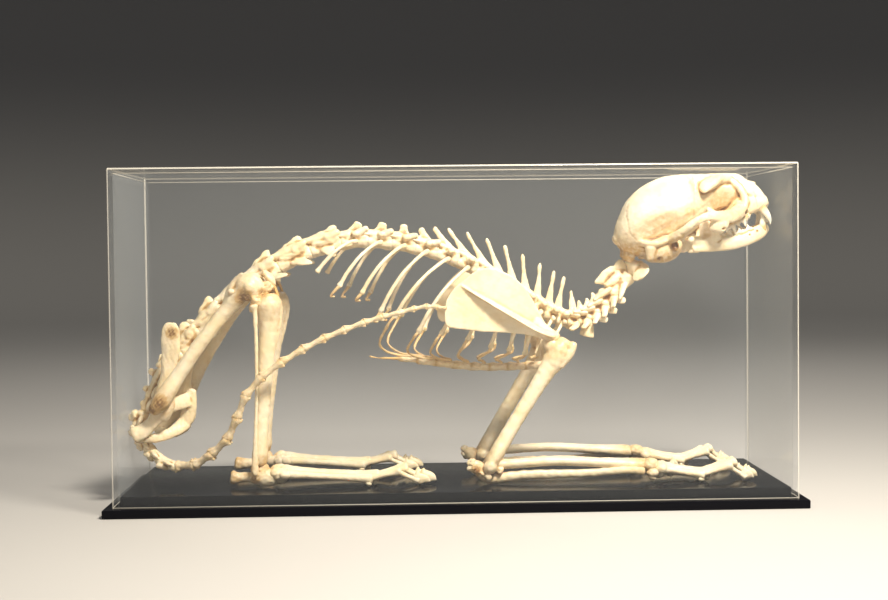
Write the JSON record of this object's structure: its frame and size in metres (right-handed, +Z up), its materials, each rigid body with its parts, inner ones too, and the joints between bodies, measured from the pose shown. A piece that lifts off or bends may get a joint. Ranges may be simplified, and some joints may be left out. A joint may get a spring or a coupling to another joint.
{
  "type": "cat skeleton in display case",
  "caption": "Life-size mounted cat skeleton, crouching with its head raised and its tail swung up along the right side, in a clear rectangular display case on a low black base.",
  "frame": {"origin": "middle of the base plate's underside", "axes": "+X along the case toward the cat's head, +Y toward the cat's left side, +Z up"},
  "size_m": [0.3966, 0.136, 0.195],
  "materials": {
    "bone": "dry cleaned bone, ivory with warm ochre stain at the joints and in hollows",
    "clear_panel": "clear polished acrylic sheet",
    "black_base": "polished black acrylic"
  },
  "bodies": {
    "root": {"skull": "bone", "mandible": "bone", "neck_vertebrae": "bone", "chest_vertebrae": "bone", "loin_vertebrae": "bone", "sacrum": "bone", "pelvis": "bone", "tail_base": "bone", "tail_middle": "bone", "tail_tip": "bone", "sternum": "bone", "ribs_right": "bone", "ribs_left": "bone", "scapula_right": "bone", "humerus_right": "bone", "radius_right": "bone", "ulna_right": "bone", "forepaw_right": "bone", "femur_right": "bone", "patella_right": "bone", "tibia_right": "bone", "fibula_right": "bone", "hindfoot_right": "bone", "scapula_left": "bone", "humerus_left": "bone", "radius_left": "bone", "ulna_left": "bone", "forepaw_left": "bone", "femur_left": "bone", "patella_left": "bone", "tibia_left": "bone", "fibula_left": "bone", "hindfoot_left": "bone", "case_front": "clear_panel", "case_back": "clear_panel", "case_left": "clear_panel", "case_right": "clear_panel", "case_top": "clear_panel", "base_plate": "black_base", "riser": "black_base"}
  },
  "joints": []
}
